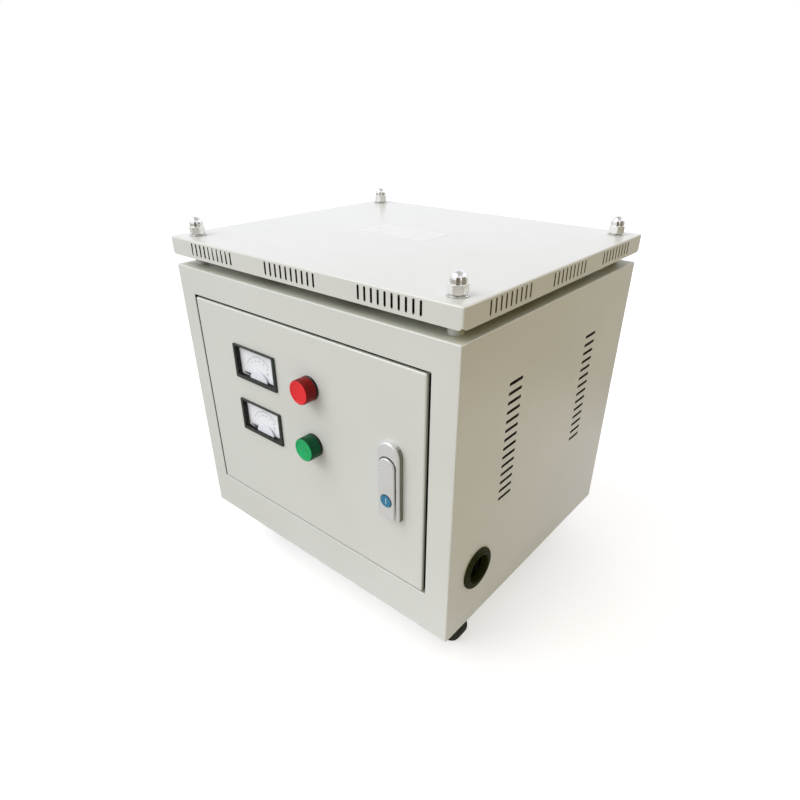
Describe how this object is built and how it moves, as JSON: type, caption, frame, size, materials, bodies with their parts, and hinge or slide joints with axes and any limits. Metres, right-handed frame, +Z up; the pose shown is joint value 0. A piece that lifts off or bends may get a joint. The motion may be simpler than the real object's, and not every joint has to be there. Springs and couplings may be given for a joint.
{
  "type": "autotransformer",
  "caption": "Floor-standing three-phase autotransformer in a light grey sheet-steel cabinet with a metered door, vented lid and swivel casters.",
  "frame": {"origin": "centre of the overall box on the floor under the casters", "axes": "+X to the right along the front, +Y from the front to the back, +Z up; the door faces -Y"},
  "size_m": [0.4454, 0.4052, 0.4883],
  "materials": {
    "grey_paint": "fine-textured semi-matt powder coat",
    "zinc_steel": "zinc plated",
    "bright_chrome": "bright plated",
    "black_rubber": "soft matt rubber",
    "wheel_plastic": "black moulded wheel",
    "core_steel": "varnished laminated electrical steel",
    "varnished_winding": "varnished insulation over copper winding",
    "glass_fibre": "pale glass-fibre board",
    "phenolic_board": "dark phenolic moulding",
    "brass_hardware": "plain brass",
    "copper": "copper bar and sleeved copper wire",
    "wire_sleeve": "black sleeving",
    "silver_lock": "silver lacquered die casting",
    "blue_plastic": "blue moulding",
    "black_plastic": "black moulding",
    "clear_glass": "clear",
    "dial_white": "white printed dial",
    "red_lens": "translucent red",
    "green_lens": "translucent green",
    "needle_black": "black painted aluminium"
  },
  "bodies": {
    "cabinet": {"base_plate": "grey_paint", "side_panel_left": "grey_paint", "side_panel_right": "grey_paint", "back_panel": "grey_paint", "back_screws": "zinc_steel", "front_frame": "grey_paint", "top_frame": "grey_paint", "lid": "grey_paint", "lid_spacers": "grey_paint", "lid_studs": "zinc_steel", "lid_washers": "zinc_steel", "lid_acorn_nuts": "bright_chrome", "cable_grommet": "black_rubber", "core_laminations": "core_steel", "coil_a": "varnished_winding", "coil_b": "varnished_winding", "coil_c": "varnished_winding", "coil_formers": "glass_fibre", "core_clamps_upper": "zinc_steel", "core_clamps_lower": "zinc_steel", "clamp_bolts": "zinc_steel", "foot_bolts": "zinc_steel", "terminal_board": "phenolic_board", "terminal_studs": "brass_hardware", "winding_leads": "copper", "cabinet_loom": "wire_sleeve", "hinge_brackets": "zinc_steel", "caster_plates": "zinc_steel", "earth_stud": "brass_hardware"},
    "door": {"door_panel": "grey_paint", "hinge_leaves": "zinc_steel", "hinge_pins": "zinc_steel", "lock_housing": "silver_lock", "lock_nut": "zinc_steel", "door_loom": "wire_sleeve", "meter_upper_case": "black_plastic", "meter_upper_glass": "clear_glass", "meter_upper_dial": "dial_white", "meter_upper_movement": "zinc_steel", "meter_lower_case": "black_plastic", "meter_lower_glass": "clear_glass", "meter_lower_dial": "dial_white", "meter_lower_movement": "zinc_steel", "lamp_red_lens": "red_lens", "lamp_green_lens": "green_lens", "lamp_bezels": "black_plastic", "lamp_bodies": "black_plastic"},
    "upper_needle": {"meter_upper_needle": "needle_black"},
    "lower_needle": {"meter_lower_needle": "needle_black"},
    "lock_rotor": {"lock_rotor": "silver_lock"},
    "lock_lever": {"lock_lever": "silver_lock"},
    "lock_button": {"lock_button": "blue_plastic"},
    "caster_fork_fl": {"caster_fork_fl": "zinc_steel"},
    "caster_wheel_fl": {"caster_wheel_fl": "wheel_plastic"},
    "caster_fork_fr": {"caster_fork_fr": "zinc_steel"},
    "caster_wheel_fr": {"caster_wheel_fr": "wheel_plastic"},
    "caster_fork_rl": {"caster_fork_rl": "zinc_steel"},
    "caster_wheel_rl": {"caster_wheel_rl": "wheel_plastic"},
    "caster_fork_rr": {"caster_fork_rr": "zinc_steel"},
    "caster_wheel_rr": {"caster_wheel_rr": "wheel_plastic"}
  },
  "joints": [
    {"name": "door_hinge", "type": "hinge", "parent": "cabinet", "child": "door", "pos_m": [-0.18125, -0.1789, 0.26], "axis": [0, 0, -1], "range_deg": [0, 110]},
    {"name": "upper_meter_needle", "type": "hinge", "parent": "door", "child": "upper_needle", "pos_m": [-0.08055, -0.1829, 0.3127], "axis": [0, 1, 0], "range_deg": [0, 132], "stiffness_Nm_per_rad": 0.0005},
    {"name": "lower_meter_needle", "type": "hinge", "parent": "door", "child": "lower_needle", "pos_m": [-0.08055, -0.1829, 0.2372], "axis": [0, 1, 0], "range_deg": [0, 132], "stiffness_Nm_per_rad": 0.0005},
    {"name": "lock_turn", "type": "hinge", "parent": "door", "child": "lock_rotor", "pos_m": [0.13825, -0.1849, 0.279], "axis": [0, 1, 0], "range_deg": [0, 90]},
    {"name": "lever_lift", "type": "hinge", "parent": "lock_rotor", "child": "lock_lever", "pos_m": [0.13825, -0.1899, 0.279], "axis": [-1, 0, 0], "range_deg": [0, 28]},
    {"name": "lock_button_press", "type": "slide", "parent": "lock_lever", "child": "lock_button", "axis": [0, 1, 0], "range_m": [0, 0.002], "stiffness_N_per_m": 300},
    {"name": "caster_swivel_fl", "type": "hinge", "parent": "cabinet", "child": "caster_fork_fl", "pos_m": [-0.16225, -0.1244, 0.058], "axis": [0, 0, 1], "continuous": true},
    {"name": "wheel_spin_fl", "type": "hinge", "parent": "caster_fork_fl", "child": "caster_wheel_fl", "pos_m": [-0.14225, -0.1244, 0.025], "axis": [0, 1, 0], "continuous": true},
    {"name": "caster_swivel_fr", "type": "hinge", "parent": "cabinet", "child": "caster_fork_fr", "pos_m": [0.15975, -0.1244, 0.058], "axis": [0, 0, 1], "continuous": true},
    {"name": "wheel_spin_fr", "type": "hinge", "parent": "caster_fork_fr", "child": "caster_wheel_fr", "pos_m": [0.17975, -0.1244, 0.025], "axis": [0, 1, 0], "continuous": true},
    {"name": "caster_swivel_rl", "type": "hinge", "parent": "cabinet", "child": "caster_fork_rl", "pos_m": [-0.16225, 0.1396, 0.058], "axis": [0, 0, 1], "continuous": true},
    {"name": "wheel_spin_rl", "type": "hinge", "parent": "caster_fork_rl", "child": "caster_wheel_rl", "pos_m": [-0.18225, 0.1396, 0.025], "axis": [0, 1, 0], "continuous": true},
    {"name": "caster_swivel_rr", "type": "hinge", "parent": "cabinet", "child": "caster_fork_rr", "pos_m": [0.15975, 0.1396, 0.058], "axis": [0, 0, 1], "continuous": true},
    {"name": "wheel_spin_rr", "type": "hinge", "parent": "caster_fork_rr", "child": "caster_wheel_rr", "pos_m": [0.13975, 0.1396, 0.025], "axis": [0, 1, 0], "continuous": true}
  ]
}
